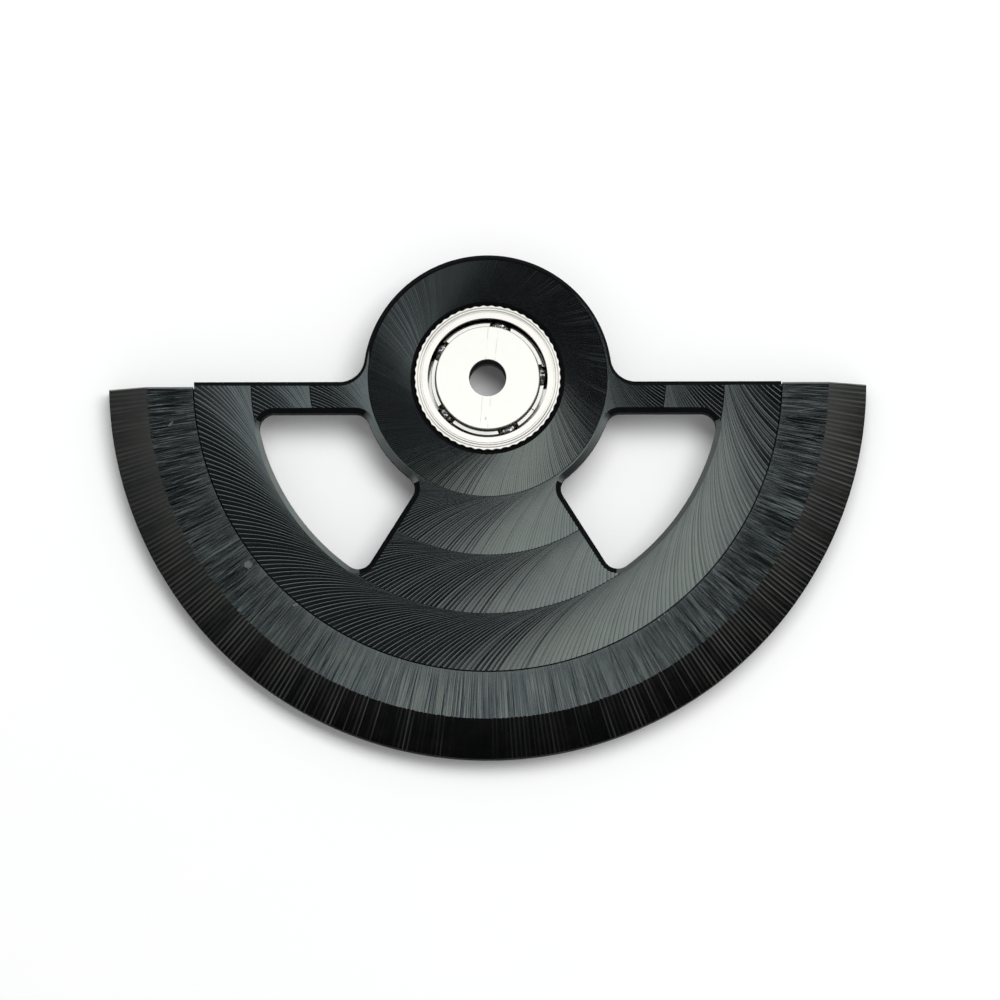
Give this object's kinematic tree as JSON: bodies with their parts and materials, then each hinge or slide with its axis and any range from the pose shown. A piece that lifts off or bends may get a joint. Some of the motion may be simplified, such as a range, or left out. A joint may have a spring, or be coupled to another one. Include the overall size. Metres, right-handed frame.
{
  "type": "automatic watch rotor",
  "caption": "Half-disc winding rotor of an automatic watch: skeletonised plate, heavy bevelled rim and a ball bearing that turns round a centre bore.",
  "frame": {"origin": "on the bearing axis, in the plane where the inner ring seats on the movement", "axes": "+X along the rotor's straight edge, +Y away from the heavy rim, +Z along the bearing axis towards the case back"},
  "size_m": [0.026, 0.0173, 0.0017],
  "materials": {
    "plate_coating": "black coated metal, swirl-turned in bands, polished bevels",
    "rim_coating": "black coated heavy metal, fine radial ribs",
    "bearing_steel": "bright turned steel",
    "cage_steel": "bright stamped steel",
    "ball_steel": "polished steel",
    "gear_brass": "satin brass",
    "rivet_steel": "turned steel"
  },
  "bodies": {
    "hub": {"inner_ring_upper": "bearing_steel", "inner_ring_lower": "bearing_steel"},
    "rotor": {"rotor_plate": "plate_coating", "rim_weight": "rim_coating", "bearing_outer_ring": "bearing_steel", "winding_gear": "gear_brass", "rim_rivet_1": "rivet_steel", "rim_rivet_2": "rivet_steel", "rim_rivet_3": "rivet_steel", "rim_rivet_4": "rivet_steel", "rim_rivet_5": "rivet_steel"},
    "cage": {"ball_cage": "cage_steel"},
    "ball_1": {"ball_1": "ball_steel"},
    "ball_2": {"ball_2": "ball_steel"},
    "ball_3": {"ball_3": "ball_steel"},
    "ball_4": {"ball_4": "ball_steel"},
    "ball_5": {"ball_5": "ball_steel"}
  },
  "joints": [
    {"name": "rotor_spin", "type": "hinge", "parent": "hub", "child": "rotor", "pos_m": [0, 0, 0.0009], "axis": [0, 0, 1], "continuous": true},
    {"name": "cage_spin", "type": "hinge", "parent": "hub", "child": "cage", "pos_m": [0, 0, 0.0009], "axis": [0, 0, 1], "continuous": true},
    {"name": "ball_1_spin", "type": "hinge", "parent": "cage", "child": "ball_1", "pos_m": [0.00189, 0.00014, 0.0009], "axis": [0, 0, 1], "continuous": true},
    {"name": "ball_2_spin", "type": "hinge", "parent": "cage", "child": "ball_2", "pos_m": [0.00045, 0.00185, 0.0009], "axis": [0, 0, 1], "continuous": true},
    {"name": "ball_3_spin", "type": "hinge", "parent": "cage", "child": "ball_3", "pos_m": [-0.00162, 0.001, 0.0009], "axis": [0, 0, 1], "continuous": true},
    {"name": "ball_4_spin", "type": "hinge", "parent": "cage", "child": "ball_4", "pos_m": [-0.00145, -0.00123, 0.0009], "axis": [0, 0, 1], "continuous": true},
    {"name": "ball_5_spin", "type": "hinge", "parent": "cage", "child": "ball_5", "pos_m": [0.00072, -0.00176, 0.0009], "axis": [0, 0, 1], "continuous": true}
  ],
  "couplings": [
    {"joint": "cage_spin", "follows": "rotor_spin", "ratio": 0.58421},
    {"joint": "ball_1_spin", "follows": "rotor_spin", "ratio": 2.8845},
    {"joint": "ball_2_spin", "follows": "rotor_spin", "ratio": 2.8845},
    {"joint": "ball_3_spin", "follows": "rotor_spin", "ratio": 2.8845},
    {"joint": "ball_4_spin", "follows": "rotor_spin", "ratio": 2.8845},
    {"joint": "ball_5_spin", "follows": "rotor_spin", "ratio": 2.8845}
  ]
}
